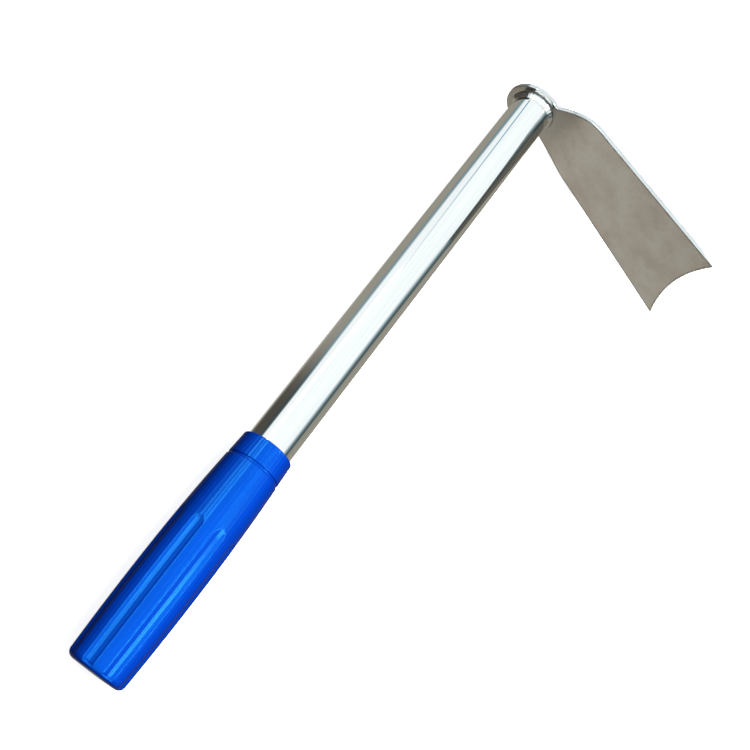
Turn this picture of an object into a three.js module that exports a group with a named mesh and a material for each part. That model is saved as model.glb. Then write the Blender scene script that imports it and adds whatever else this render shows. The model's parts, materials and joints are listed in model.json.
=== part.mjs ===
// A short one-hand garden hoe: a polished steel tube with a moulded grip at one end and, at the
// other, a flat blade whose round tang is welded across the tube's mouth.
//
// Every piece is drawn in the hoe's own axes, in millimetres: +Z runs up the tube from the butt of
// the grip to the head, +X is the way the blade reaches out, and Y is the width of the blade.
// lieOnSide() then lays the finished hoe down on its side, with +Z up and the floor at zero.
import * as THREE from 'three';
import { mergeVertices } from 'three/addons/utils/BufferGeometryUtils.js';

const JOINT_GAP = 0.3;                  // air left between pieces that touch on the real hoe
const SETTLING_PASSES = 12;             // tries at finding the three points that it rests on

// Tube
const TUBE_RADIUS = 12.5;
const TUBE_WALL = 1.2;
const TUBE_SIDES = 64;

// Blade: one flat plate, bent once just outside its round tang
const PLATE_THICKNESS = 3.0;
const PLATE_INNER_Z = 402.3;            // height of the face that the tube is welded to
const TANG_RADIUS = 18.0;
const BEND_START = 18.2;                // distance from the tube's axis where the bend begins
const BEND_RADIUS = 52;
const BEND_ANGLE = THREE.MathUtils.degToRad(19.65);
const WAIST = { along: 11.5, half: 14.6 };
const SHOULDER = { along: 44, half: 27.3 };
const TIP = { along: 142, half: 34.8 };
const EDGE_HOLLOW = 6.6;                // how far the middle of the cutting edge is set back
const EDGE_THICKNESS = 0.5;
const BEVEL_LENGTH = 14;                // ground on the outer face only
const TIP_ROUND = 0.9;                  // how far the two sharp corners are blunted
const BLADE_COLUMNS = 16;
const TANG_ROWS = { first: 8, last: 125, step: 9 };     // degrees round the tang, from its back
const NECK_ROW_STEP = 3;
const SIDE_ROW_STEP = 12;

// Weld bead around the mouth of the tube
const BEAD_LEG_OUT = 2.0;
const BEAD_LEG_DOWN = 3.4;
const BEAD_STEPS = 6;
const BEAD_FLATTENING = 0.25;           // how far the fillet's round back is pressed in

// Grip
const GRIP_BORE = TUBE_RADIUS + JOINT_GAP;
const GRIP_END_WALL = 4.0;
const BUTT = { z: 4.0, radius: 15.4, round: 3.6 };
const BELLY = { z: 64, radius: 16.7 };
const BODY_TOP = { z: 117.2, radius: 15.3 };
const GROOVE = { from: 117.6, to: 118.9, radius: 14.3 };
const COLLAR = { from: 119.2, to: 131.6, lower: 15.05, upper: 14.45, round: 0.7 };
const FLUTE = { count: 8, depth: 0.9, halfAngle: 11.25, phase: -64.2, top: 83, runOut: 7 };
const GRIP_SIDES = FLUTE.count * 8;
const BUTT_STEPS = 4;
const FLUTED_ROW_STEP = 12;
const RUN_OUT_ROW_STEP = 1.6;
const PLAIN_ROW_STEP = 8;

const polished = new THREE.MeshStandardMaterial({ color: 0xd9dde0, roughness: 0.12, metalness: 1 });
const plateSteel = new THREE.MeshStandardMaterial({ color: 0x97908a, roughness: 0.35, metalness: 1 });
const weldSteel = new THREE.MeshStandardMaterial({ color: 0xa9a7a2, roughness: 0.45, metalness: 1 });
const bluePlastic = new THREE.MeshStandardMaterial({ color: 0x0550e0, roughness: 0.3, metalness: 0 });

function named(name, geometry, material) {
  const mesh = new THREE.Mesh(geometry, material);
  mesh.name = name;
  return mesh;
}

// A ring of the given profile [radius, z] round the tube's axis. The profile runs anticlockwise
// with radius to the right and z up, and closes on itself.
function ring(profile, sides) {
  const points = [...profile, profile[0]].map(([radius, z]) => new THREE.Vector2(radius, z));
  const geometry = new THREE.LatheGeometry(points, sides);
  geometry.rotateX(Math.PI / 2);        // the lathe turns about Y; the tube stands along Z
  geometry.deleteAttribute('normal');
  geometry.deleteAttribute('uv');
  return mergeVertices(geometry, 1e-4);
}

function tube() {
  const low = GRIP_END_WALL + JOINT_GAP;
  const high = PLATE_INNER_Z - JOINT_GAP;
  const bore = TUBE_RADIUS - TUBE_WALL;
  const profile = [[bore, low], [TUBE_RADIUS, low], [TUBE_RADIUS, high], [bore, high]];
  return named('tube', ring(profile, TUBE_SIDES), polished);
}

// A fillet of filler metal in the corner between the tube and the underside of the tang.
function weldBead() {
  const inner = TUBE_RADIUS + JOINT_GAP;
  const top = PLATE_INNER_Z - JOINT_GAP;
  const profile = [[inner, top]];
  for (let step = 0; step <= BEAD_STEPS; step++) {
    const angle = (step / BEAD_STEPS) * Math.PI / 2;
    const bulge = 1 - BEAD_FLATTENING * Math.sin(2 * angle);
    profile.push([
      inner + BEAD_LEG_OUT * Math.sin(angle) * bulge,
      top - BEAD_LEG_DOWN * Math.cos(angle) * bulge,
    ]);
  }
  return named('weld_bead', ring(profile, TUBE_SIDES), weldSteel);
}

// Half the width of the plate at a distance along it, measured from the tube's axis.
function plateHalfWidth(along) {
  const tang = Math.sqrt(Math.max(TANG_RADIUS ** 2 - along ** 2, 0));
  if (along < WAIST.along) return Math.max(tang, along > 0 ? WAIST.half : 0);
  if (along < SHOULDER.along) {
    const t = (along - WAIST.along) / (SHOULDER.along - WAIST.along);
    return WAIST.half + (SHOULDER.half - WAIST.half) * Math.sin(t * Math.PI / 2);
  }
  const t = (along - SHOULDER.along) / (TIP.along - SHOULDER.along);
  return SHOULDER.half + (TIP.half - SHOULDER.half) * t;
}

// A point on the bent plate: distance along it, and height above its inner face.
function bentPoint(along, height) {
  const turned = THREE.MathUtils.clamp((along - BEND_START) / BEND_RADIUS, 0, BEND_ANGLE);
  const radius = BEND_RADIUS + height;
  const before = Math.min(along, BEND_START);
  const after = Math.max(along - BEND_START - BEND_RADIUS * BEND_ANGLE, 0);
  return [
    before + radius * Math.sin(turned) + after * Math.cos(turned),
    PLATE_INNER_Z - BEND_RADIUS + radius * Math.cos(turned) - after * Math.sin(turned),
  ];
}

// Rows across the plate, from the back of the tang to the cutting edge, closer where it curves.
function plateRows() {
  const rows = [];
  for (let angle = TANG_ROWS.first; angle <= TANG_ROWS.last; angle += TANG_ROWS.step) {
    rows.push(-TANG_RADIUS * Math.cos(THREE.MathUtils.degToRad(angle)));
  }
  for (let along = WAIST.along + 1; along < SHOULDER.along; along += NECK_ROW_STEP) {
    rows.push(along);
  }
  const bevelTop = TIP.along - BEVEL_LENGTH;
  for (let along = SHOULDER.along; along < bevelTop - 1; along += SIDE_ROW_STEP) rows.push(along);
  return [...rows, bevelTop, TIP.along - BEVEL_LENGTH / 2, TIP.along];
}

// The plate is a grid of rows and columns on its inner face, the same grid on its outer face, and
// a wall around the rim. Rows near the end bow back to follow the hollow cutting edge.
function blade() {
  const rows = plateRows();
  const vertices = [];
  for (const face of [0, 1]) {
    for (const row of rows) {
      for (let column = 0; column <= BLADE_COLUMNS; column++) {
        const across = (2 * column) / BLADE_COLUMNS - 1;
        const bow = Math.max((row - SHOULDER.along) / (TIP.along - SHOULDER.along), 0) ** 2;
        const corner = row === TIP.along && Math.abs(across) === 1 ? TIP_ROUND : 0;
        const along = row - bow * EDGE_HOLLOW * (1 - across ** 2) - corner;
        const ground = THREE.MathUtils.clamp((TIP.along - row) / BEVEL_LENGTH, 0, 1);
        const thickness = THREE.MathUtils.lerp(EDGE_THICKNESS, PLATE_THICKNESS, ground);
        const [x, z] = bentPoint(along, face * thickness);
        vertices.push(x, across * plateHalfWidth(row), z);
      }
    }
  }
  const inner = (row, column) => row * (BLADE_COLUMNS + 1) + column;
  const outer = (row, column) => inner(row + rows.length, column);
  const triangles = [];
  const quad = (a, b, c, d) => triangles.push(a, b, c, a, c, d);
  const last = BLADE_COLUMNS;
  const end = rows.length - 1;
  for (let row = 0; row < end; row++) {
    const next = row + 1;
    for (let column = 0; column < BLADE_COLUMNS; column++) {
      const beside = column + 1;
      quad(inner(row, column), inner(row, beside), inner(next, beside), inner(next, column));
      quad(outer(row, column), outer(next, column), outer(next, beside), outer(row, beside));
    }
    quad(inner(row, 0), inner(next, 0), outer(next, 0), outer(row, 0));
    quad(inner(row, last), outer(row, last), outer(next, last), inner(next, last));
  }
  for (let column = 0; column < BLADE_COLUMNS; column++) {
    const beside = column + 1;
    quad(inner(0, column), outer(0, column), outer(0, beside), inner(0, beside));
    quad(inner(end, column), inner(end, beside), outer(end, beside), outer(end, column));
  }
  return named('blade', solid(vertices, triangles), plateSteel);
}

function solid(vertices, triangles) {
  const geometry = new THREE.BufferGeometry();
  geometry.setAttribute('position', new THREE.Float32BufferAttribute(vertices, 3));
  geometry.setIndex(triangles);
  return geometry;
}

// Radius of the grip between its flutes.
function gripRadius(z) {
  const end = z < BELLY.z ? BUTT : BODY_TOP;
  return BELLY.radius - (BELLY.radius - end.radius) * ((z - BELLY.z) / (end.z - BELLY.z)) ** 2;
}

// Depth of the flutes at a height and an angle in degrees: a scoop with a rounded upper end.
function fluteDepth(z, degrees) {
  const pitch = 360 / FLUTE.count;
  const offset = THREE.MathUtils.euclideanModulo(degrees - FLUTE.phase + pitch / 2, pitch) - pitch / 2;
  const side = offset / FLUTE.halfAngle;
  const end = Math.max(0, (z - (FLUTE.top - FLUTE.runOut)) / FLUTE.runOut);
  return FLUTE.depth * Math.max(0, 1 - side ** 2 - end ** 2);
}

// The grip's outline from the middle of the butt, up the outside and back down the bore. Each
// entry is a radius, a height, and whether the flutes are cut there.
function gripOutline() {
  const outline = [];
  for (let step = 0; step <= BUTT_STEPS; step++) {
    const angle = (step / BUTT_STEPS) * Math.PI / 2;
    const inset = BUTT.round * (1 - Math.sin(angle));
    outline.push([BUTT.radius - inset, BUTT.z - BUTT.z * Math.cos(angle), step === BUTT_STEPS]);
  }
  const runOut = FLUTE.top - FLUTE.runOut;
  for (let z = FLUTED_ROW_STEP; z < runOut - FLUTED_ROW_STEP / 3; z += FLUTED_ROW_STEP) {
    outline.push([gripRadius(z), z, true]);
  }
  for (let z = runOut; z <= FLUTE.top + 1; z += RUN_OUT_ROW_STEP) {
    outline.push([gripRadius(z), z, true]);
  }
  for (let z = FLUTE.top + FLUTE.runOut; z < BODY_TOP.z - 3; z += PLAIN_ROW_STEP) {
    outline.push([gripRadius(z), z, false]);
  }
  outline.push([BODY_TOP.radius, BODY_TOP.z, false]);
  outline.push([GROOVE.radius, GROOVE.from, false], [GROOVE.radius, GROOVE.to, false]);
  outline.push([COLLAR.lower, COLLAR.from, false]);
  outline.push([COLLAR.upper, COLLAR.to - COLLAR.round, false]);
  outline.push([COLLAR.upper - COLLAR.round, COLLAR.to, false]);
  outline.push([GRIP_BORE, COLLAR.to, false], [GRIP_BORE, GRIP_END_WALL, false]);
  return outline;
}

function grip() {
  const outline = gripOutline();
  const vertices = [0, 0, 0];
  for (const [radius, z, fluted] of outline) {
    for (let side = 0; side < GRIP_SIDES; side++) {
      const degrees = FLUTE.phase + (360 * side) / GRIP_SIDES;
      const angle = THREE.MathUtils.degToRad(degrees);
      const reach = radius - (fluted ? fluteDepth(z, degrees) : 0);
      vertices.push(reach * Math.cos(angle), reach * Math.sin(angle), z);
    }
  }
  const topCentre = vertices.length / 3;
  vertices.push(0, 0, GRIP_END_WALL);
  const at = (row, side) => 1 + row * GRIP_SIDES + (side % GRIP_SIDES);
  const triangles = [];
  const lastRow = outline.length - 1;
  for (let side = 0; side < GRIP_SIDES; side++) {
    triangles.push(0, at(0, side + 1), at(0, side));
    for (let row = 0; row < lastRow; row++) {
      triangles.push(at(row, side), at(row, side + 1), at(row + 1, side + 1));
      triangles.push(at(row, side), at(row + 1, side + 1), at(row + 1, side));
    }
    triangles.push(topCentre, at(lastRow, side), at(lastRow, side + 1));
  }
  return named('grip', solid(vertices, triangles), bluePlastic);
}

// The vertex of a mesh that lies furthest along a direction, among those that pass a test.
function furthest(mesh, direction, test) {
  const position = mesh.geometry.getAttribute('position');
  let best = null;
  for (let index = 0; index < position.count; index++) {
    const point = new THREE.Vector3().fromBufferAttribute(position, index);
    if (test(point) && (best === null || point.dot(direction) > best.dot(direction))) best = point;
  }
  return best;
}

// Lay the hoe on its side. It comes to rest on the belly of the grip, on the rim of the tang and on
// one shoulder of the blade, so the plane through those three points is the floor. The tips of the
// blade end up clear of it.
function lieOnSide(group, gripMesh, bladeMesh) {
  const down = new THREE.Vector3(0, 1, 0);
  for (let pass = 0; pass < SETTLING_PASSES; pass++) {
    const belly = furthest(gripMesh, down, () => true);
    const rim = furthest(bladeMesh, down, (point) => point.x < WAIST.along);
    const shoulder = furthest(bladeMesh, down, (point) => point.x > BEND_START);
    down.crossVectors(shoulder.clone().sub(rim), belly.clone().sub(rim)).normalize();
    if (down.y < 0) down.negate();
  }
  const up = down.clone().negate();
  const forward = new THREE.Vector3(0, 0, 1).projectOnPlane(up).normalize();
  const left = new THREE.Vector3().crossVectors(up, forward);
  const turn = new THREE.Matrix4().makeBasis(forward, left, up).transpose();
  group.quaternion.setFromRotationMatrix(turn);
  const box = new THREE.Box3().setFromObject(group, true);
  const centre = box.getCenter(new THREE.Vector3());
  group.position.set(-centre.x, -centre.y, -box.min.z);
}

const hoe = new THREE.Group();
const gripMesh = grip();
const bladeMesh = blade();
hoe.add(tube(), weldBead(), bladeMesh, gripMesh);
lieOnSide(hoe, gripMesh, bladeMesh);

export default hoe;
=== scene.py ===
import json
import math

import bmesh
import bpy
from mathutils import Matrix, Vector, noise


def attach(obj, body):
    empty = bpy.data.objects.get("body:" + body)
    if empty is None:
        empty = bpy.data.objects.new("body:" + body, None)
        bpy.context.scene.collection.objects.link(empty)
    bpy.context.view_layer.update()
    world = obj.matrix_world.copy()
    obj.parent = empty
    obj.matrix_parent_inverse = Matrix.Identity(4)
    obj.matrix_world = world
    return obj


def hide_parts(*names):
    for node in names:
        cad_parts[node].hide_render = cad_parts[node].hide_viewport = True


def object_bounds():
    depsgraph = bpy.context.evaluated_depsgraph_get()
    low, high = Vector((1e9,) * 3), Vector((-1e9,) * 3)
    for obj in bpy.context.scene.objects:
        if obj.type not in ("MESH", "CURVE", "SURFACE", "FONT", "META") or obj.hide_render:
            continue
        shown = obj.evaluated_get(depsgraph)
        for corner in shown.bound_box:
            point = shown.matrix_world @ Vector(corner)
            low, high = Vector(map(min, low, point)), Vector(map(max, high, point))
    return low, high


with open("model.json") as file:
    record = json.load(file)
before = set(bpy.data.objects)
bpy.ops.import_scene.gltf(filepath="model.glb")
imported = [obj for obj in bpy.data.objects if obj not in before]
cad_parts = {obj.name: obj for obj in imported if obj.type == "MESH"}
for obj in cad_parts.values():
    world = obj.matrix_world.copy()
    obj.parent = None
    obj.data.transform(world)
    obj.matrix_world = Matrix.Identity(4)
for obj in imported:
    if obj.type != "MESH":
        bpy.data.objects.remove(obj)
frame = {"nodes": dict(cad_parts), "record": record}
cad_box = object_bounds()

# Every piece is drawn in the hoe's own axes, in millimetres, as the CAD model is: z runs up the
# tube from the butt to the head, x is the way the blade reaches out, y is the blade's width.
MM = 0.001

# Tube
TUBE_RADIUS = 12.5
TUBE_WALL = 1.2
TUBE_LOW = 4.3
TUBE_HIGH = 402.0
TUBE_CHAMFER = 0.25
TUBE_SIDES = 256
TUBE_RINGS = 24

# Blade
PLATE_THICKNESS = 3.0
PLATE_INNER_Z = 402.3
TANG_RADIUS = 18.0
BEND_START = 18.2
BEND_RADIUS = 52.0
BEND_ANGLE = math.radians(19.65)
WAIST_ALONG = 11.5
WAIST_HALF = 14.6
SHOULDER_ALONG = 44.0
SHOULDER_HALF = 27.3
TIP_ALONG = 142.0
TIP_HALF = 34.8
EDGE_HOLLOW = 6.6
EDGE_THICKNESS = 0.5
BEVEL_LENGTH = 14.0
RIM_ROUND = 0.35                        # rounding of the plate's inner edges
RIM_ROLL = 1.0                          # the outer edges are rolled over more, as shearing does
ROUND_STEPS = 4
RIM_BAND = 1.3                          # width of the darker line inside the rim
TIP_CORNER = 0.7                        # how far the sharp tips are blunted
TIP_ZONE = 8.0                          # length of the plate's end where its rim is drawn in evenly

# Weld
WELD_OUT = 1.8
WELD_DOWN = 3.2
WELD_FLARE = 1.8                        # power of the curve that the bead follows off the tube
WELD_RIPPLES = 44
WELD_BITE = 0.05                        # how far the bead sinks into the tube and the tang
WELD_STEPS = 14
WELD_SIDES = 360

# Grip
BORE = 12.55
END_WALL = 4.0
BUTT_Z = 4.0
BUTT_RADIUS = 15.4
BUTT_ROUND = 3.6
BELLY_Z = 64.0
BELLY_RADIUS = 16.7
BODY_TOP_Z = 117.2
BODY_TOP_RADIUS = 15.3
GROOVE_LOW = 117.7
GROOVE_HIGH = 118.9
GROOVE_RADIUS = 14.3
COLLAR_LOW = 119.2
COLLAR_HIGH = 131.6
COLLAR_LOW_RADIUS = 15.05
COLLAR_HIGH_RADIUS = 14.45
COLLAR_ROUND = 0.8
COLLAR_FOOT_ROUND = 0.35
BODY_END_ROUND = 0.45
FLUTES = 8
FLUTE_DEPTH = 0.9
FLUTE_HALF_ANGLE = 11.25
FLUTE_PHASE = -64.2
FLUTE_TOP = 83.0
FLUTE_RUN_OUT = 4.5
FLUTE_SOFTNESS = 0.12                   # how much the rim of a flute is rounded over
RIBS = 43
RIB_DEPTH = 0.09
BODY_RIB_SHARE = 0.7                    # the ribs are fainter on the body than on the collar
GRIP_SIDES = FLUTES * 44


# ---------------------------------------------------------------- the hoe's place in the frame

def mount_point(name):
    mounts = {mount["name"]: mount for mount in frame["record"]["mounts"]}
    return Vector(mounts[name]["pos_m"])


def hoe_axes():
    """The matrix from the hoe's own axes to the frame: the tube's axis runs from mount to mount,
    and the blade, which is the same on both sides of x, shows which way x points."""
    butt = mount_point("butt_face")
    along = (mount_point("head_face") - butt).normalized()
    blade_points = [vertex.co for vertex in frame["nodes"]["blade"].data.vertices]
    reach = sum(blade_points, Vector()) / len(blade_points) - butt
    reach = (reach - along * reach.dot(along)).normalized()
    width = along.cross(reach)
    turn = Matrix((reach, width, along)).transposed().to_4x4()
    return Matrix.Translation(butt) @ turn


HOE = hoe_axes()


def mix(a, b, share):
    return a + (b - a) * share


def clamp(value, low=0.0, high=1.0):
    return max(low, min(high, value))


def smooth(value):
    t = clamp(value)
    return t * t * (3 - 2 * t)


# ---------------------------------------------------------------- mesh helpers

def piece(name, node, vertices, faces, material, marks=None):
    """A smooth-shaded mesh drawn in the hoe's axes, which stands for a CAD node. Its material
    finds its place on the hoe in the attribute "place", and any further marks by their names."""
    drawn = [Vector(vertex) * MM for vertex in vertices]
    mesh = bpy.data.meshes.new(name)
    mesh.from_pydata([HOE @ point for point in drawn], [], faces)
    mesh.shade_smooth()
    place = mesh.attributes.new("place", "FLOAT_VECTOR", "POINT")
    place.data.foreach_set("vector", [value for point in drawn for value in point])
    for mark, values in (marks or {}).items():
        attribute = mesh.attributes.new(mark, "FLOAT", "POINT")
        attribute.data.foreach_set("value", values)
    mesh.materials.append(material)
    body = bpy.data.objects.new(name, mesh)
    bpy.context.scene.collection.objects.link(body)
    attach(body, "root")
    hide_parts(node)
    return body


def ring_faces(count, sides, closed):
    """Faces that join each ring of vertices to the next, and the last to the first if closed."""
    faces = []
    for row in range(count if closed else count - 1):
        above = (row + 1) % count
        for side in range(sides):
            beside = (side + 1) % sides
            faces.append((row * sides + side, row * sides + beside,
                          above * sides + beside, above * sides + side))
    return faces


def turned(rows, sides, reach, closed):
    """Vertices and faces of a surface round the tube's axis. Each row is (radius, z, data), and
    reach(radius, z, data, degrees) gives the true radius. A closed profile joins its last row to
    its first; an open one is capped on the axis at both ends."""
    vertices = []
    for radius, z, data in rows:
        for side in range(sides):
            degrees = 360 * side / sides
            angle = math.radians(degrees)
            out = reach(radius, z, data, degrees)
            vertices.append((out * math.cos(angle), out * math.sin(angle), z))
    count = len(rows)
    faces = ring_faces(count, sides, closed)
    if not closed:
        low, high = len(vertices), len(vertices) + 1
        vertices.append((0, 0, rows[0][1]))
        vertices.append((0, 0, rows[-1][1]))
        for side in range(sides):
            beside = (side + 1) % sides
            faces.append((low, beside, side))
            last = (count - 1) * sides
            faces.append((high, last + side, last + beside))
    return vertices, faces


# ---------------------------------------------------------------- materials

class Nodes:
    """A short way to write the nodes of a material or of the world, and of its shader."""

    def __init__(self, owner, shader="Principled BSDF"):
        self.owner = owner
        owner.use_nodes = True
        self.tree = owner.node_tree
        self.shader = self.tree.nodes[shader]

    def add(self, kind, **inputs):
        node = self.tree.nodes.new(kind)
        for key, value in inputs.items():
            node.inputs[key.replace("_", " ")].default_value = value
        return node

    def link(self, source, target):
        self.tree.links.new(source, target)

    def give(self, socket, value):
        """Link a socket to another, or set it to a number or to a colour."""
        if isinstance(value, bpy.types.NodeSocket):
            self.link(value, socket)
        elif isinstance(value, tuple):
            socket.default_value = (*value, 1)
        else:
            socket.default_value = value

    def attribute(self, name, output):
        node = self.tree.nodes.new("ShaderNodeAttribute")
        node.attribute_name = name
        return node.outputs[output]

    def place(self, stretch=(1, 1, 1)):
        """The place on the hoe, in its own axes in metres, stretched."""
        mapping = self.add("ShaderNodeMapping", Scale=stretch)
        self.link(self.attribute("place", "Vector"), mapping.inputs["Vector"])
        return mapping.outputs["Vector"]

    def noise(self, scale, detail=3.0, stretch=(1, 1, 1), roughness=0.5):
        node = self.add("ShaderNodeTexNoise", Scale=scale, Detail=detail, Roughness=roughness)
        self.link(self.place(stretch), node.inputs["Vector"])
        return node.outputs["Fac"]

    def ramp(self, source, stops):
        node = self.add("ShaderNodeValToRGB")
        elements = node.color_ramp.elements
        while len(elements) < len(stops):
            elements.new(0.5)
        for element, (position, colour) in zip(elements, stops):
            element.position = position
            element.color = (*colour, 1)
        self.link(source, node.inputs["Fac"])
        return node.outputs["Color"]

    def math(self, operation, *sources):
        node = self.tree.nodes.new("ShaderNodeMath")
        node.operation = operation
        for source, socket in zip(sources, node.inputs):
            self.link(source, socket)
        return node.outputs["Value"]

    def spread(self, source, low, high, to_low, to_high):
        """A smooth step from one value to another as the source goes from low to high."""
        node = self.tree.nodes.new("ShaderNodeMapRange")
        node.interpolation_type = "SMOOTHSTEP"
        self.link(source, node.inputs["Value"])
        ends = {"From Min": low, "From Max": high, "To Min": to_low, "To Max": to_high}
        for key, value in ends.items():
            node.inputs[key].default_value = value
        return node.outputs["Result"]

    def blend(self, share, first, second, kind="MIX"):
        """The first colour mixed toward the second, or multiplied by it, by a number or a socket."""
        node = self.tree.nodes.new("ShaderNodeMix")
        node.data_type = "RGBA"
        node.blend_type = kind
        colours = {"A": first, "B": second}
        for socket in node.inputs:
            if socket.type == "RGBA":
                self.give(socket, colours[socket.name])
        self.give(node.inputs["Factor"], share)
        return next(socket for socket in node.outputs if socket.type == "RGBA")

    def bump(self, height, strength, distance):
        node = self.add("ShaderNodeBump", Strength=strength, Distance=distance)
        self.link(height, node.inputs["Height"])
        self.link(node.outputs["Normal"], self.shader.inputs["Normal"])

    def set(self, **values):
        for key, value in values.items():
            self.give(self.shader.inputs[key.replace("_", " ")], value)


def polished_steel():
    """Drawn stainless tube, polished bright: long faint draw lines and a few handling smears."""
    n = Nodes(bpy.data.materials.new("polished_steel"))
    lines = n.noise(900, 4.0, (1, 1, 0.012))
    smears = n.noise(60, 3.0, (1, 1, 0.35))
    n.set(Metallic=1.0)
    n.set(Base_Color=n.ramp(lines, [(0.35, (0.87, 0.90, 0.905)), (0.6, (0.95, 0.965, 0.97))]))
    n.set(Roughness=n.spread(smears, 0.35, 0.7, 0.02, 0.05))
    n.bump(lines, 0.05, 0.00004)
    return n.owner


def satin_steel():
    """Stainless sheet with a dull, mottled mill finish, darker in a fine line inside its rim, and a
    painted pale-blue sheen on its rounded edges that stands for the sky's reflection.
    """
    n = Nodes(bpy.data.materials.new("satin_steel"))
    clouds = n.noise(55, 5.0, (1, 1, 1), 0.55)
    grain = n.noise(1500, 2.0, (0.25, 1, 0.25))
    base = n.ramp(clouds, [(0.36, (0.84, 0.80, 0.75)), (0.5, (0.92, 0.90, 0.86)), (0.64, (0.95, 0.97, 0.95))])
    base = n.blend(0.3, base, n.ramp(grain, [(0.3, (0.78, 0.77, 0.75)), (0.7, (0.97, 0.97, 0.97))]))
    rim = n.attribute("rim", "Fac")
    line = [(0.0, (1, 1, 1)), (0.45, (0.58, 0.57, 0.54)), (0.72, (0.72, 0.72, 0.70)), (0.9, (1, 1, 1))]
    dark = n.ramp(rim, line)
    dark = n.blend(n.spread(n.noise(300, 3.0), 0.40, 0.56, 0.3, 1.0), (1.0, 1.0, 1.0), dark)
    # painted reflection: a pale-blue sheen on the rounded edges stands for the sky mirrored there
    edge_sky_sheen = n.ramp(n.attribute("edge", "Fac"), [(0.2, (1, 1, 1)), (0.6, (0.80, 0.87, 0.93))])
    base = n.blend(1.0, n.blend(1.0, base, dark, "MULTIPLY"), edge_sky_sheen, "MULTIPLY")
    n.set(Base_Color=base, Metallic=1.0)
    reach = n.tree.nodes.new("ShaderNodeSeparateXYZ")
    n.link(n.attribute("place", "Vector"), reach.inputs["Vector"])
    dull = n.spread(reach.outputs["X"], 0.018, 0.034, 0.35, 1.0)
    n.set(Roughness=n.math("MULTIPLY", n.spread(clouds, 0.3, 0.7, 0.24, 0.16), dull))
    n.bump(n.blend(0.5, clouds, grain), 0.18, 0.0001)
    return n.owner


def weld_steel():
    """Stainless filler metal: bright, lumpy, with a brown heat tint in places, and a painted dark
    shade line along its toe at the tang.
    """
    n = Nodes(bpy.data.materials.new("weld_steel"))
    lumps = n.noise(420, 3.0)
    tint = n.noise(130, 2.0)
    base = n.ramp(tint, [(0.45, (0.93, 0.95, 0.96)), (0.66, (0.80, 0.78, 0.74)), (0.8, (0.50, 0.45, 0.40))])
    # painted shade: the bead darkens to a thin dark line where it meets the tang, for the crease
    toe = n.ramp(n.attribute("toe", "Fac"), [(0.80, (1, 1, 1)), (0.93, (0.13, 0.16, 0.18))])
    n.set(Base_Color=n.blend(1.0, base, toe, "MULTIPLY"), Metallic=1.0)
    n.set(Roughness=n.spread(lumps, 0.3, 0.7, 0.05, 0.14))
    n.bump(lumps, 0.35, 0.0003)
    return n.owner


def blue_plastic():
    """Glossy moulded plastic: an even blue, a trace of flow marks along the moulding, and painted
    shade that darkens the blue where it turns away from the camera, toward its outline.
    """
    n = Nodes(bpy.data.materials.new("blue_plastic"))
    flow = n.noise(120, 4.0, (1, 1, 0.18))
    fine = n.noise(2400, 2.0, (1, 1, 0.6))
    base = n.ramp(flow, [(0.3, (0.0, 0.057, 0.57)), (0.7, (0.0, 0.065, 0.65))])
    # painted shade: the blue darkens, and reflects less, where it turns away from the camera
    turned_away = n.add("ShaderNodeLayerWeight", Blend=0.5).outputs["Facing"]
    depth = n.ramp(turned_away, [(0.0, (1, 1, 1)), (0.3, (0.90, 0.90, 0.90)), (0.75, (0.42, 0.42, 0.42))])
    n.set(Base_Color=n.blend(1.0, base, depth, "MULTIPLY"))
    n.set(Roughness=n.spread(flow, 0.3, 0.7, 0.24, 0.16))
    n.set(Specular_IOR_Level=n.spread(turned_away, 0.05, 0.45, 1.0, 0.03))
    n.set(Specular_Tint=(0.05, 0.6, 1.0))
    n.bump(fine, 0.10, 0.00005)
    return n.owner


# ---------------------------------------------------------------- tube

def make_tube():
    bore = TUBE_RADIUS - TUBE_WALL
    cut = TUBE_CHAMFER
    profile = [
        (bore, TUBE_LOW + cut), (bore + cut, TUBE_LOW),
        (TUBE_RADIUS - cut, TUBE_LOW), (TUBE_RADIUS, TUBE_LOW + cut), (TUBE_RADIUS, TUBE_LOW + 2 * cut),
    ]
    for ring in range(1, TUBE_RINGS):
        profile.append((TUBE_RADIUS, mix(TUBE_LOW, TUBE_HIGH, ring / TUBE_RINGS)))
    profile += [
        (TUBE_RADIUS, TUBE_HIGH - 2 * cut), (TUBE_RADIUS, TUBE_HIGH - cut), (TUBE_RADIUS - cut, TUBE_HIGH),
        (bore + cut, TUBE_HIGH), (bore, TUBE_HIGH - cut),
    ]
    rows = [(radius, z, None) for radius, z in profile]
    vertices, faces = turned(rows, TUBE_SIDES, lambda radius, z, data, degrees: radius, closed=True)
    return piece("handle_tube", "tube", vertices, faces, polished_steel())


# ---------------------------------------------------------------- weld

def weld_swell(degrees):
    """How much fuller than usual the bead is at an angle: slow lumps and overlapping ripples."""
    angle = math.radians(degrees)
    spot = Vector((math.cos(angle), math.sin(angle), 0))
    slow = noise.noise(spot * 2.3 + Vector((3.1, 0, 0)))
    quick = noise.noise(spot * 6.5 + Vector((0, 7.7, 0)))
    ripple = abs(math.sin(WELD_RIPPLES * angle / 2 + 1.5 * slow))
    return 1 + 0.18 * slow + 0.14 * quick + 0.04 * ripple


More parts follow.
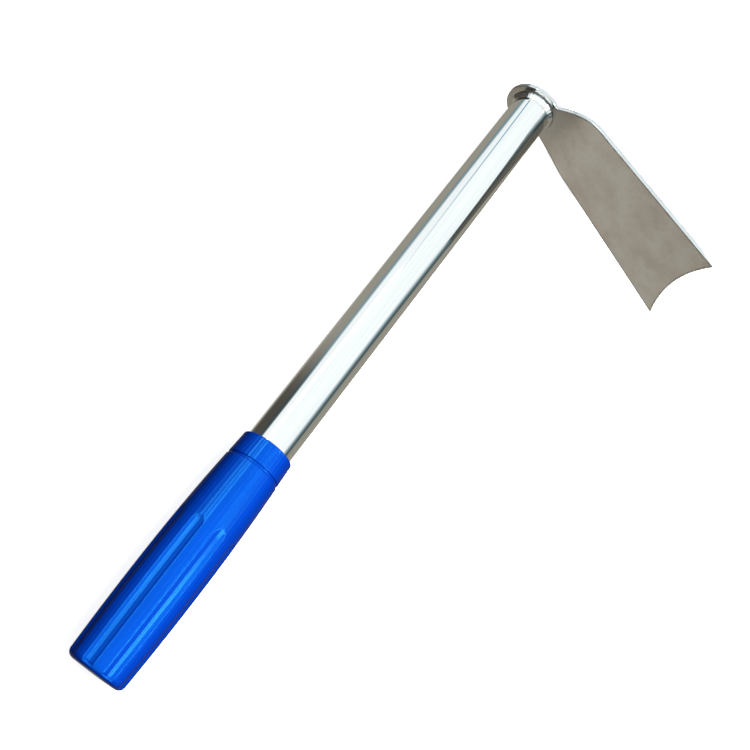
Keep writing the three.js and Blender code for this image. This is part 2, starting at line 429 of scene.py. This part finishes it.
def make_weld():
    """A flared, lumpy ring in the corner between the tube and the tang. The mark "toe" rises from
    none at the tube to one at the tang; the weld's material uses it to paint a dark shade line
    where the bead meets the tang."""
    inner = TUBE_RADIUS - WELD_BITE
    top = PLATE_INNER_Z + WELD_BITE
    rows = [(0.0, 0.0, 0.0)]            # how far out and down from the corner, and the mark
    for step in range(WELD_STEPS + 1):
        rise = step / WELD_STEPS
        rows.append((0.04 + WELD_OUT * rise ** WELD_FLARE, WELD_DOWN * (1 - rise), rise))
    vertices = []
    for out, down, _ in rows:
        for side in range(WELD_SIDES):
            angle = 2 * math.pi * side / WELD_SIDES
            swell = weld_swell(360 * side / WELD_SIDES)
            radius = inner + out * swell
            vertices.append((radius * math.cos(angle), radius * math.sin(angle), top - down * swell))
    faces = ring_faces(len(rows), WELD_SIDES, closed=True)
    toe = [mark for _, _, mark in rows for side in range(WELD_SIDES)]
    return piece("weld_ring", "weld_bead", vertices, faces, weld_steel(), {"toe": toe})


# ---------------------------------------------------------------- blade

def plate_half_width(along):
    if along < WAIST_ALONG:
        tang = math.sqrt(max(TANG_RADIUS ** 2 - along ** 2, 0))
        return max(tang, WAIST_HALF if along > 0 else 0)
    if along < SHOULDER_ALONG:
        t = (along - WAIST_ALONG) / (SHOULDER_ALONG - WAIST_ALONG)
        return WAIST_HALF + (SHOULDER_HALF - WAIST_HALF) * math.sin(t * math.pi / 2)
    t = (along - SHOULDER_ALONG) / (TIP_ALONG - SHOULDER_ALONG)
    return SHOULDER_HALF + (TIP_HALF - SHOULDER_HALF) * t


def bent_point(along, across, height):
    """A point of the bent plate: distance along it, across it, and height above its inner face."""
    turned_by = clamp((along - BEND_START) / BEND_RADIUS, 0, BEND_ANGLE)
    radius = BEND_RADIUS + height
    before = min(along, BEND_START)
    after = max(along - BEND_START - BEND_RADIUS * BEND_ANGLE, 0)
    x = before + radius * math.sin(turned_by) + after * math.cos(turned_by)
    z = PLATE_INNER_Z - BEND_RADIUS + radius * math.cos(turned_by) - after * math.sin(turned_by)
    return (x, across, z)


def plate_outline():
    """The plate's outline before its end is hollowed, anticlockwise from the back of the tang."""
    side = []
    notch = math.atan2(WAIST_HALF, math.sqrt(TANG_RADIUS ** 2 - WAIST_HALF ** 2))
    tang_steps = 60
    for step in range(1, tang_steps + 1):
        angle = math.pi - step / tang_steps * (math.pi - notch)
        side.append((TANG_RADIUS * math.cos(angle), TANG_RADIUS * math.sin(angle)))
    along = WAIST_ALONG
    while along < SHOULDER_ALONG:
        side.append((along, plate_half_width(along)))
        along += 0.8
    while along < TIP_ALONG - 0.4:
        side.append((along, plate_half_width(along)))
        along += 1.6
    side.append((TIP_ALONG - TIP_CORNER, plate_half_width(TIP_ALONG - TIP_CORNER)))
    side.append((TIP_ALONG - TIP_CORNER * 0.3, TIP_HALF - TIP_CORNER * 0.3))
    edge = []
    edge_steps = 44
    for step in range(edge_steps + 1):
        edge.append((TIP_ALONG, mix(TIP_CORNER - TIP_HALF, TIP_HALF - TIP_CORNER, step / edge_steps)))
    lower = [(a, -y) for a, y in side]
    return [(-TANG_RADIUS, 0)] + lower + edge + side[::-1]


def inset(outline, distance):
    """The outline moved inward along its corners' bisectors. The tips are too sharp for that, so
    near them it is drawn in evenly instead, and no part of it crosses another."""
    moved = []
    count = len(outline)
    for index in range(count):
        here = Vector(outline[index])
        if here.x > TIP_ALONG - TIP_ZONE:
            row = TIP_ALONG - distance - (TIP_ALONG - here.x) * (1 - distance / TIP_ZONE)
            share = (plate_half_width(row) - distance) / plate_half_width(here.x)
            moved.append(Vector((row, here.y * share)))
            continue
        before = Vector(outline[index - 1])
        after = Vector(outline[(index + 1) % count])
        first = (here - before).normalized()
        second = (after - here).normalized()
        normal = Vector((-(first.y + second.y), first.x + second.x)).normalized()
        lean = max(normal.dot(Vector((-first.y, first.x))), 0.5)
        moved.append(here + normal * (distance / lean))
    return moved


def hollowed(row, across):
    """Distance along the plate of a point, once the cutting edge and the rows near it are bowed."""
    bow = max((row - SHOULDER_ALONG) / (TIP_ALONG - SHOULDER_ALONG), 0) ** 2
    share = clamp(across / plate_half_width(min(row, TIP_ALONG)), -1, 1) if row > 0 else 0
    return row - bow * EDGE_HOLLOW * (1 - share ** 2)


def plate_thickness(row):
    return mix(EDGE_THICKNESS, PLATE_THICKNESS, clamp((TIP_ALONG - row) / BEVEL_LENGTH))


def rim_steps(size):
    """Steps in from the rim of a face, round an edge of this size and across the rim's band: how
    far in each is, and how far below the face."""
    turns = [step / ROUND_STEPS * math.pi / 2 for step in range(ROUND_STEPS + 1)]
    steps = [(size * (1 - math.cos(turn)), size * (1 - math.sin(turn))) for turn in turns]
    return steps + [(size + 0.35, 0.0), (size + RIM_BAND, 0.0)]


def make_blade():
    """A flat sheet cut on a grid, with its edges rounded, then hollowed, ground and bent. Its marks
    are "rim", which rises to one at the rim, and "edge", the share of the rounding that is left,
    which places the painted pale-blue sky sheen on the rounded edges."""
    outline = plate_outline()
    work = bmesh.new()
    rim_layer = work.verts.layers.float.new("rim")
    depth_layer = work.verts.layers.float.new("depth")
    edge_layer = work.verts.layers.float.new("edge")
    loops = {}
    for face, size in ((0, RIM_ROUND), (1, RIM_ROLL)):
        for level, (distance, drop) in enumerate(rim_steps(size)):
            ring = []
            for a, y in inset(outline, distance):
                vertex = work.verts.new((a, y, face))
                vertex[rim_layer] = (1 - distance / (size + RIM_BAND)) * smooth((a - TANG_RADIUS) / 6)
                vertex[edge_layer] = drop / size
                vertex[depth_layer] = drop
                ring.append(vertex)
            loops[face, level] = ring
    count = len(outline)

    def strip(low, high):
        for index in range(count):
            beside = (index + 1) % count
            work.faces.new((low[index], low[beside], high[beside], high[index]))

    top_level = len(rim_steps(RIM_ROUND)) - 1
    strip(loops[1, 0], loops[0, 0])
    for level in range(top_level):
        strip(loops[0, level], loops[0, level + 1])
        strip(loops[1, level + 1], loops[1, level])
    for face in (0, 1):
        order = 1 if face == 0 else -1
        cut_grid(work, work.faces.new(loops[face, top_level][::order]))
    mesh_vertices, faces, rim, edge = [], [], [], []
    for index, vertex in enumerate(work.verts):
        vertex.index = index
        row, across, face = vertex.co
        thickness = plate_thickness(row)
        rounding = vertex[depth_layer] * min(1, 0.6 * thickness / RIM_ROLL)
        height = thickness - rounding if face > 0.5 else rounding
        mesh_vertices.append(bent_point(hollowed(row, across), across, height))
        rim.append(vertex[rim_layer])
        edge.append(vertex[edge_layer])
    for face in work.faces:
        faces.append([vertex.index for vertex in face.verts])
    work.free()
    marks = {"rim": rim, "edge": edge}
    return piece("hoe_blade", "blade", mesh_vertices, faces, satin_steel(), marks)


def cut_grid(work, middle):
    """Cut one flat face into a grid, so that it can follow the bend and the hollow edge."""
    cuts = [((along, 0, 0), (1, 0, 0)) for along in grid_rows()]
    cuts += [((0, across, 0), (0, 1, 0)) for across in grid_columns()]
    faces = [middle]
    for point, normal in cuts:
        edges = {edge for face in faces for edge in face.edges}
        result = bmesh.ops.bisect_plane(
            work, geom=faces + list(edges) + list({vertex for edge in edges for vertex in edge.verts}),
            plane_co=point, plane_no=normal, dist=1e-6)
        faces = [item for item in result["geom"] if isinstance(item, bmesh.types.BMFace)]


def grid_rows():
    """Where the grid is cut across the plate: close together in the bend, and down the bevel. The
    odd fractions keep the cuts off the outline's own points."""
    margin = 0.13
    spacing = 5.03
    rows = [BEND_START - margin]
    bend_length = BEND_RADIUS * BEND_ANGLE
    bend_steps = 18
    for step in range(1, bend_steps + 1):
        rows.append(BEND_START - margin + (bend_length + 2 * margin) * step / bend_steps)
    along = rows[-1] + spacing
    while along < TIP_ALONG - BEVEL_LENGTH - 3:
        rows.append(along)
        along += spacing
    for step in range(5):
        rows.append(TIP_ALONG - BEVEL_LENGTH * (1 - step / 5) + 0.011)
    return rows


def grid_columns():
    """Where the grid is cut along the plate."""
    return [0.013 + 3.37 * step for step in range(-9, 10)]


# ---------------------------------------------------------------- grip

def grip_radius(z):
    """Radius of the body between its flutes: fullest at the belly."""
    end_z, end_radius = (BUTT_Z, BUTT_RADIUS) if z < BELLY_Z else (BODY_TOP_Z, BODY_TOP_RADIUS)
    return BELLY_RADIUS - (BELLY_RADIUS - end_radius) * ((z - BELLY_Z) / (end_z - BELLY_Z)) ** 2


def flute_depth(z, degrees):
    """Depth of the flutes: a scoop with a rounded upper end and a slightly softened rim."""
    pitch = 360 / FLUTES
    offset = (degrees - FLUTE_PHASE + pitch / 2) % pitch - pitch / 2
    side = offset / FLUTE_HALF_ANGLE
    end = max(0.0, (z - (FLUTE_TOP - FLUTE_RUN_OUT)) / FLUTE_RUN_OUT)
    scoop = 1 - side ** 2 - end ** 2
    return FLUTE_DEPTH * (scoop + math.sqrt(scoop ** 2 + FLUTE_SOFTNESS ** 2)) / 2


def rib_depth(z, degrees):
    """Fine shallow ribs all along the collar and the body."""
    share = 1.0 if z > COLLAR_LOW else BODY_RIB_SHARE
    wave = 0.5 + 0.5 * math.cos(math.radians(degrees) * RIBS)
    return RIB_DEPTH * share * wave


def grip_reach(radius, z, surface, degrees):
    if surface == "body":
        return radius - flute_depth(z, degrees) - rib_depth(z, degrees)
    if surface == "collar":
        return radius - rib_depth(z, degrees)
    return radius


def arc(centre_radius, centre_z, size, start, stop, steps, surface):
    """Rows round a corner, from one angle to another, in degrees above the outward direction."""
    rows = []
    for step in range(steps + 1):
        angle = math.radians(mix(start, stop, step / steps))
        rows.append((centre_radius + size * math.cos(angle), centre_z + size * math.sin(angle), surface))
    return rows


def grip_rows():
    """Rows of the grip as (radius, z, surface), up the outside from the butt and down the bore."""
    rows = [(2.0, 0.0, "plain"), (8.0, 0.0, "plain")]
    rows += arc(BUTT_RADIUS - BUTT_ROUND, BUTT_ROUND, BUTT_ROUND, -90, -35, 7, "plain")
    rows += arc(BUTT_RADIUS - BUTT_ROUND, BUTT_ROUND, BUTT_ROUND, -30, -4, 4, "body")
    z = BUTT_Z
    while z < FLUTE_TOP - FLUTE_RUN_OUT - 1:
        rows.append((grip_radius(z), z, "body"))
        z += 1.6
    z = FLUTE_TOP - FLUTE_RUN_OUT - 1   # closer rows where the flutes end
    while z < FLUTE_TOP + 1.2:
        rows.append((grip_radius(z), z, "body"))
        z += 0.35
    while z < BODY_TOP_Z - 0.9:
        rows.append((grip_radius(z), z, "body"))
        z += 1.8
    rows += arc(BODY_TOP_RADIUS - BODY_END_ROUND, BODY_TOP_Z - 0.1, BODY_END_ROUND, 0, 90, 4, "collar")
    rows += [(GROOVE_RADIUS + 0.15, GROOVE_LOW, "plain"), (GROOVE_RADIUS, GROOVE_LOW + 0.2, "plain")]
    rows += [(GROOVE_RADIUS, GROOVE_HIGH - 0.2, "plain"), (GROOVE_RADIUS + 0.15, GROOVE_HIGH, "plain")]
    foot = COLLAR_LOW_RADIUS - COLLAR_FOOT_ROUND
    rows += arc(foot, COLLAR_LOW + 0.2, COLLAR_FOOT_ROUND, -80, 0, 4, "collar")
    steps = 8
    top = COLLAR_HIGH - COLLAR_ROUND
    for step in range(1, steps + 1):
        share = step / steps
        radius = mix(COLLAR_LOW_RADIUS, COLLAR_HIGH_RADIUS, share)
        rows.append((radius, mix(COLLAR_LOW + 0.3, top, share), "collar"))
    rows += arc(COLLAR_HIGH_RADIUS - COLLAR_ROUND, top, COLLAR_ROUND, 10, 90, 6, "plain")
    rows += [(BORE + 0.15, COLLAR_HIGH, "plain"), (BORE, COLLAR_HIGH - 0.2, "plain")]
    rows += [(BORE, mix(COLLAR_HIGH, END_WALL, step / 6), "plain") for step in range(1, 6)]
    rows += [(BORE, END_WALL + 0.3, "plain"), (BORE - 0.3, END_WALL, "plain"), (2.0, END_WALL, "plain")]
    return rows


def make_grip():
    vertices, faces = turned(grip_rows(), GRIP_SIDES, grip_reach, closed=False)
    return piece("grip_sleeve", "grip", vertices, faces, blue_plastic())


make_tube()
make_weld()
make_blade()
make_grip()


# ---------------------------------------------------------------- camera

CAMERA_FROM = Vector((8.7, -483.0, -11.0)) * MM
CAMERA_TO = Vector((20.4, 0.0, 199.5)) * MM
CAMERA_ROLL = math.radians(37.0)
CAMERA_LENS = 47.9
SENSOR = 36.0


def make_camera():
    """The camera looks down on the lying hoe from above its butt, rolled so that the tube runs up
    to the right."""
    back = (CAMERA_FROM - CAMERA_TO).normalized()
    level = Vector((0, 0, 1)).cross(back).normalized()
    above = back.cross(level)
    right = level * math.cos(CAMERA_ROLL) + above * math.sin(CAMERA_ROLL)
    up = back.cross(right)
    data = bpy.data.cameras.new("camera")
    data.sensor_width = SENSOR
    data.lens = CAMERA_LENS
    data.clip_start = 0.01
    camera = bpy.data.objects.new("camera", data)
    turn = Matrix((right, up, back)).transposed().to_4x4()
    camera.matrix_world = HOE @ Matrix.Translation(CAMERA_FROM) @ turn
    bpy.context.scene.collection.objects.link(camera)
    bpy.context.scene.camera = camera


make_camera()


# ---------------------------------------------------------------- studio

BAR_NORMAL = (0.658, -0.743, 0.117)     # a thin window bar stands square to this direction
BACKDROP = (0.93, 0.94, 0.95)           # what the camera sees past the floor
LIGHT_DISTANCE = 1.6
DIFFUSE_SHARE = 0.35                    # how much of the dome lights dull surfaces
NEAR_GROUND = (0.38, 0.35, 0.30)        # the dome's colours, from straight below to overhead
GROUND = (0.32, 0.30, 0.25)
HORIZON = (0.08, 0.11, 0.11)
HAZE = (0.20, 0.30, 0.34)
SKY = (0.96, 1.00, 1.00)
BAR_TINT = (0.22, 0.40, 0.52)
PATCH_SHADE = 0.24
BEHIND_SHADE = 0.40
BELOW = [(-0.80, NEAR_GROUND), (-0.62, GROUND)]
RIGHT_HEIGHTS = BELOW + [(-0.03, GROUND), (0.13, HORIZON), (0.24, HORIZON), (0.36, HAZE), (0.56, SKY)]
LEFT_HEIGHTS = BELOW + [(-0.04, GROUND), (0.11, HAZE), (0.19, HAZE), (0.34, SKY)]


def make_world():
    """A bright dome over a warm grey ground, for the polished steel to mirror, with a dark band at
    the horizon on the right. A dark patch lies low on the left, and it is dimmer low down behind
    the butt. A thin dark bar crosses the sky above the head."""
    world = bpy.data.worlds.new("studio")
    world.use_nodes = True
    bpy.context.scene.world = world
    n = Nodes(world, "Background")
    around = n.tree.nodes.new("ShaderNodeTexCoord").outputs["Generated"]
    parts = n.tree.nodes.new("ShaderNodeSeparateXYZ")
    n.link(around, parts.inputs["Vector"])
    ahead, left, level = parts.outputs["X"], parts.outputs["Y"], parts.outputs["Z"]

    def sky(stops, start, stop, sink):
        """The dome's colours by height; the horizon sinks toward the head."""
        height = n.math("ADD", level, n.spread(ahead, start, stop, 0, sink))
        share = n.add("ShaderNodeMapRange", From_Min=-1)
        n.link(height, share.inputs["Value"])
        return n.ramp(share.outputs["Result"], [((low + 1) / 2, colour) for low, colour in stops])

    right_sky = sky(RIGHT_HEIGHTS, 0.42, 0.70, 0.26)
    left_sky = sky(LEFT_HEIGHTS, 0.30, 0.60, 0.17)
    dome = n.blend(n.spread(left, -0.15, 0.15, 0, 1), right_sky, left_sky)
    patch = n.math("MULTIPLY", n.spread(ahead, 0.31, 0.44, 1, 0), n.spread(left, 0.35, 0.60, 0, 1))
    patch = n.math("MULTIPLY", patch, n.spread(level, 0.22, 0.38, 1, 0))
    shade = n.spread(patch, 0, 1, 1.0, PATCH_SHADE)
    behind = n.math("MULTIPLY", n.spread(ahead, -0.72, -0.57, 1, 0), n.spread(level, 0.10, 0.35, 1, 0))
    shade = n.math("MULTIPLY", shade, n.spread(behind, 0, 1, 1.0, BEHIND_SHADE))
    aside = n.tree.nodes.new("ShaderNodeVectorMath")
    aside.operation = "DOT_PRODUCT"
    n.link(around, aside.inputs[0])
    aside.inputs[1].default_value = Vector(BAR_NORMAL).normalized()
    bar = n.spread(n.math("ABSOLUTE", aside.outputs["Value"]), 0.010, 0.036, 1, 0)
    bar = n.math("MULTIPLY", bar, n.spread(ahead, 0.42, 0.64, 0, 1))
    bar = n.math("MULTIPLY", bar, n.spread(level, 0.2, 0.35, 0, 1))
    dome = n.blend(bar, dome, n.blend(1.0, dome, BAR_TINT, "MULTIPLY"))
    glow = n.spread(level, 0.2, 0.97, 0.98, 1.06)
    rays = n.tree.nodes.new("ShaderNodeLightPath")
    dim = n.spread(rays.outputs["Is Diffuse Ray"], 0, 1, 1.0, DIFFUSE_SHARE)
    shade = n.math("MULTIPLY", n.math("MULTIPLY", shade, glow), dim)
    lit = n.blend(1.0, dome, shade, "MULTIPLY")
    n.set(Color=n.blend(rays.outputs["Is Camera Ray"], lit, BACKDROP))


def make_floor():
    """A plain pale floor that glows, so that shadows on it stay faint. Only the camera sees it: the
    steel mirrors the dome's ground instead."""
    size = 6.0
    height = cad_box[0].z - 0.0002
    mesh = bpy.data.meshes.new("floor")
    corners = [(-size, -size), (size, -size), (size, size), (-size, size)]
    mesh.from_pydata([(x, y, height) for x, y in corners], [], [(0, 1, 2, 3)])
    n = Nodes(bpy.data.materials.new("floor_paint"))
    n.set(Base_Color=(0.94, 0.94, 0.94), Roughness=0.9, Specular_IOR_Level=0.1)
    n.set(Emission_Color=(1.0, 1.0, 1.0), Emission_Strength=0.75)
    mesh.materials.append(n.owner)
    floor = bpy.data.objects.new("floor", mesh)
    bpy.context.scene.collection.objects.link(floor)
    floor.visible_glossy = False
    floor.visible_diffuse = False


def soft_light(name, start, stop, width, power, dull):
    """A strip light, from one direction to another as seen from the middle of the hoe. It lights
    either the dull surfaces or the glossy ones."""
    centre = (cad_box[0] + cad_box[1]) / 2
    first = Vector(start).normalized() * LIGHT_DISTANCE
    last = Vector(stop).normalized() * LIGHT_DISTANCE
    back = (first + last).normalized()
    along = (last - first).normalized()
    data = bpy.data.lights.new(name, "AREA")
    data.shape = "RECTANGLE"
    data.size = (last - first).length
    data.size_y = width
    data.energy = power
    light = bpy.data.objects.new(name, data)
    turn = Matrix((along, back.cross(along), back)).transposed().to_4x4()
    light.matrix_world = Matrix.Translation(centre + (first + last) / 2) @ turn
    light.visible_diffuse = dull
    light.visible_glossy = not dull
    light.visible_camera = False
    bpy.context.scene.collection.objects.link(light)


make_world()
make_floor()
soft_light("key", (-0.1, -0.24, 1.0), (0.5, -0.24, 1.0), 0.7, 29, dull=True)
soft_light("left_strip", (-0.3, 0.70, 0.71), (0.5, 0.61, 0.62), 0.26, 5.0, dull=False)
soft_light("right_strip", (-0.55, -0.50, 0.67), (0.10, -0.57, 0.81), 0.20, 8.5, dull=False)

bpy.context.scene.view_settings.view_transform = "Standard"
